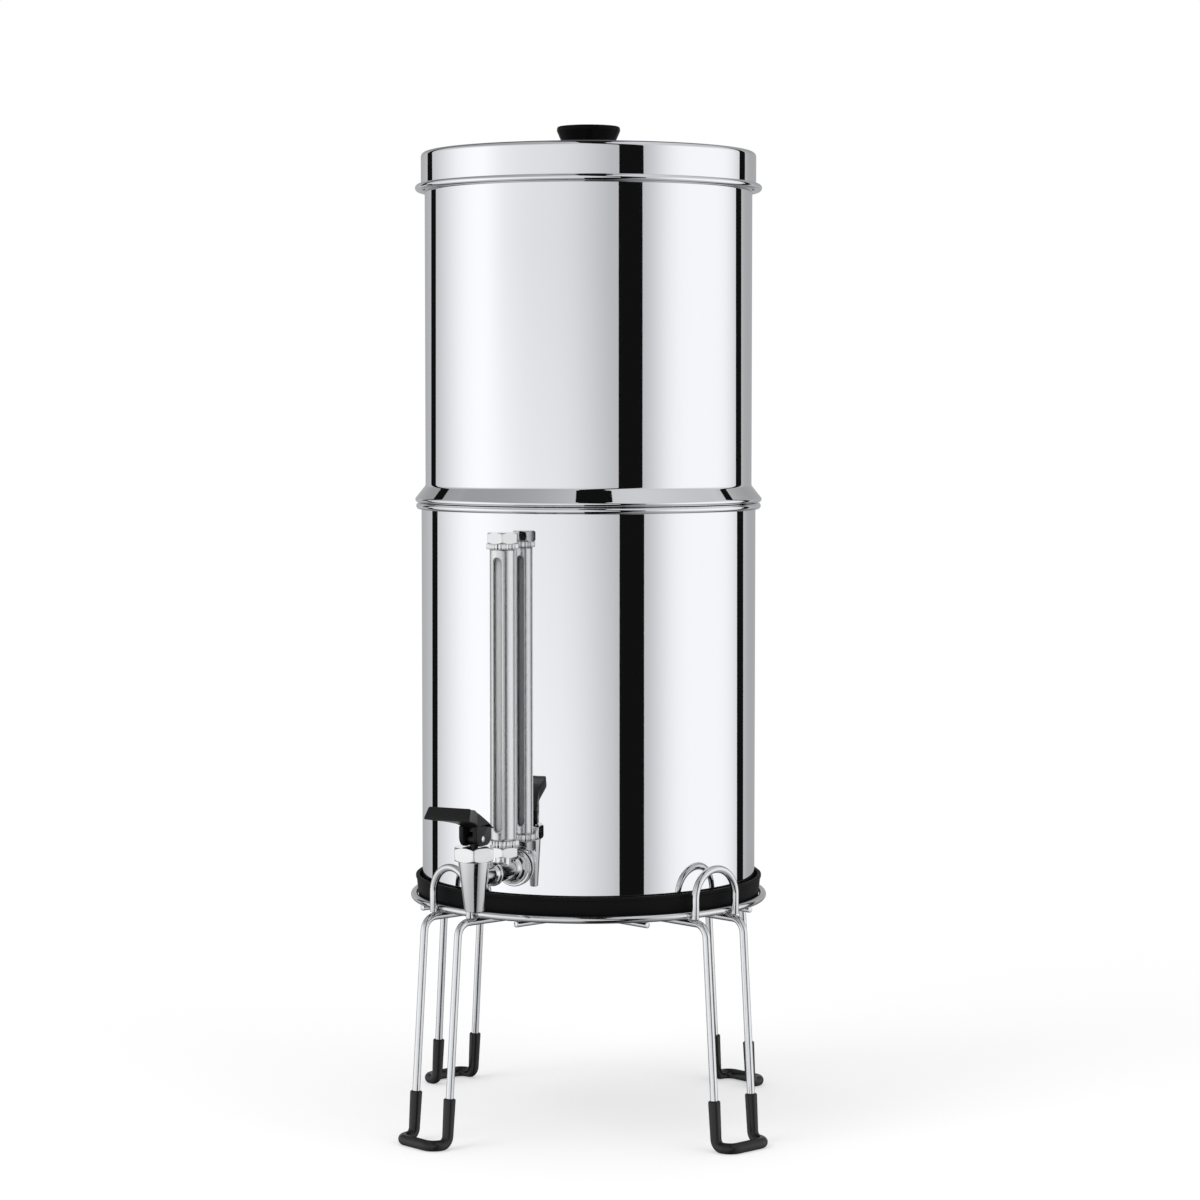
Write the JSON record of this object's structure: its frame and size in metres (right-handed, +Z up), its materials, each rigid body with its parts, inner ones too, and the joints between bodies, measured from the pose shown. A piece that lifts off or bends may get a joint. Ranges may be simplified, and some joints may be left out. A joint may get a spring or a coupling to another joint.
{
  "type": "gravity water filter with tap and wire stand",
  "caption": "Polished steel gravity water filter: stacked chambers with lid, cam lever tap with upright sight gauge, and a bent wire stand with sleeved feet.",
  "frame": {"origin": "on the floor, under the middle of the whole footprint, feet and tap lever included", "axes": "+Z up along the vessel's axis; the tap and its lever point to -Y; +X is to the right when facing the tap"},
  "size_m": [0.2946, 0.3536, 0.6596],
  "materials": {
    "polished_steel": "mirror polished stainless sheet",
    "stand_wire": "polished stainless wire",
    "tap_steel": "turned and satin polished stainless",
    "hidden_steel": "plain stainless",
    "band_rubber": "matte black, moulded",
    "sleeve_rubber": "smooth black, slightly glossy",
    "gasket_rubber": "matte black",
    "silicone": "translucent white silicone",
    "gauge_tube": "clear glass",
    "lever_plastic": "black, satin gloss",
    "knob_plastic": "black, semi gloss",
    "filter_carbon": "pressed carbon, matte",
    "filter_plastic": "black, moulded"
  },
  "bodies": {
    "stand": {"stand_ring": "stand_wire", "stand_grid": "stand_wire", "leg_1": "stand_wire", "leg_2": "stand_wire", "leg_3": "stand_wire", "leg_4": "stand_wire", "retaining_loop_1": "stand_wire", "retaining_loop_2": "stand_wire", "retaining_loop_3": "stand_wire", "retaining_loop_4": "stand_wire", "foot_sleeve_1": "sleeve_rubber", "foot_sleeve_2": "sleeve_rubber", "foot_sleeve_3": "sleeve_rubber", "foot_sleeve_4": "sleeve_rubber"},
    "lower_vessel": {"lower_chamber": "polished_steel", "base_band": "band_rubber", "tap_body": "tap_steel", "tap_bonnet": "tap_steel", "valve_diaphragm": "silicone", "tap_spring": "hidden_steel", "outer_gasket": "gasket_rubber", "wall_washer": "tap_steel", "gauge_block": "tap_steel", "front_collar": "tap_steel", "inner_gasket": "gasket_rubber", "inner_nut": "hidden_steel", "gauge_nut": "tap_steel", "gauge_socket": "tap_steel", "gauge_seals": "silicone", "gauge_glass": "gauge_tube", "gauge_sleeve": "tap_steel", "gauge_collar": "tap_steel", "gauge_cap": "tap_steel"},
    "stem": {"tap_stem": "hidden_steel", "seat_cup": "silicone"},
    "lever": {"tap_lever": "lever_plastic", "lever_pin": "tap_steel"},
    "upper_vessel": {"upper_chamber": "polished_steel", "filter_1": "filter_carbon", "filter_2": "filter_carbon", "filter_cap_1": "filter_plastic", "filter_cap_2": "filter_plastic", "filter_washers": "silicone", "filter_nuts": "filter_plastic"},
    "lid": {"lid": "polished_steel", "lid_knob": "knob_plastic", "knob_screw": "hidden_steel", "knob_washer": "hidden_steel"}
  },
  "joints": [
    {"name": "vessel_lift", "type": "slide", "parent": "stand", "child": "lower_vessel", "axis": [0, 0, 1], "range_m": [0, 0.06]},
    {"name": "stem_lift", "type": "slide", "parent": "lower_vessel", "child": "stem", "axis": [0, 0, 1], "range_m": [0, 0.00118], "deforming": ["tap_spring"]},
    {"name": "lever_press", "type": "hinge", "parent": "stem", "child": "lever", "pos_m": [0, -0.13901, 0.2065], "axis": [1, 0, 0], "range_deg": [0, 25], "stiffness_Nm_per_rad": 0.3, "springref_deg": -17.19},
    {"name": "upper_lift", "type": "slide", "parent": "lower_vessel", "child": "upper_vessel", "axis": [0, 0, 1], "range_m": [0, 0.08]},
    {"name": "lid_lift", "type": "slide", "parent": "upper_vessel", "child": "lid", "axis": [0, 0, 1], "range_m": [0, 0.05]}
  ],
  "couplings": [
    {"joint": "stem_lift", "follows": "lever_press", "m_per_rad": 0.0027111}
  ]
}
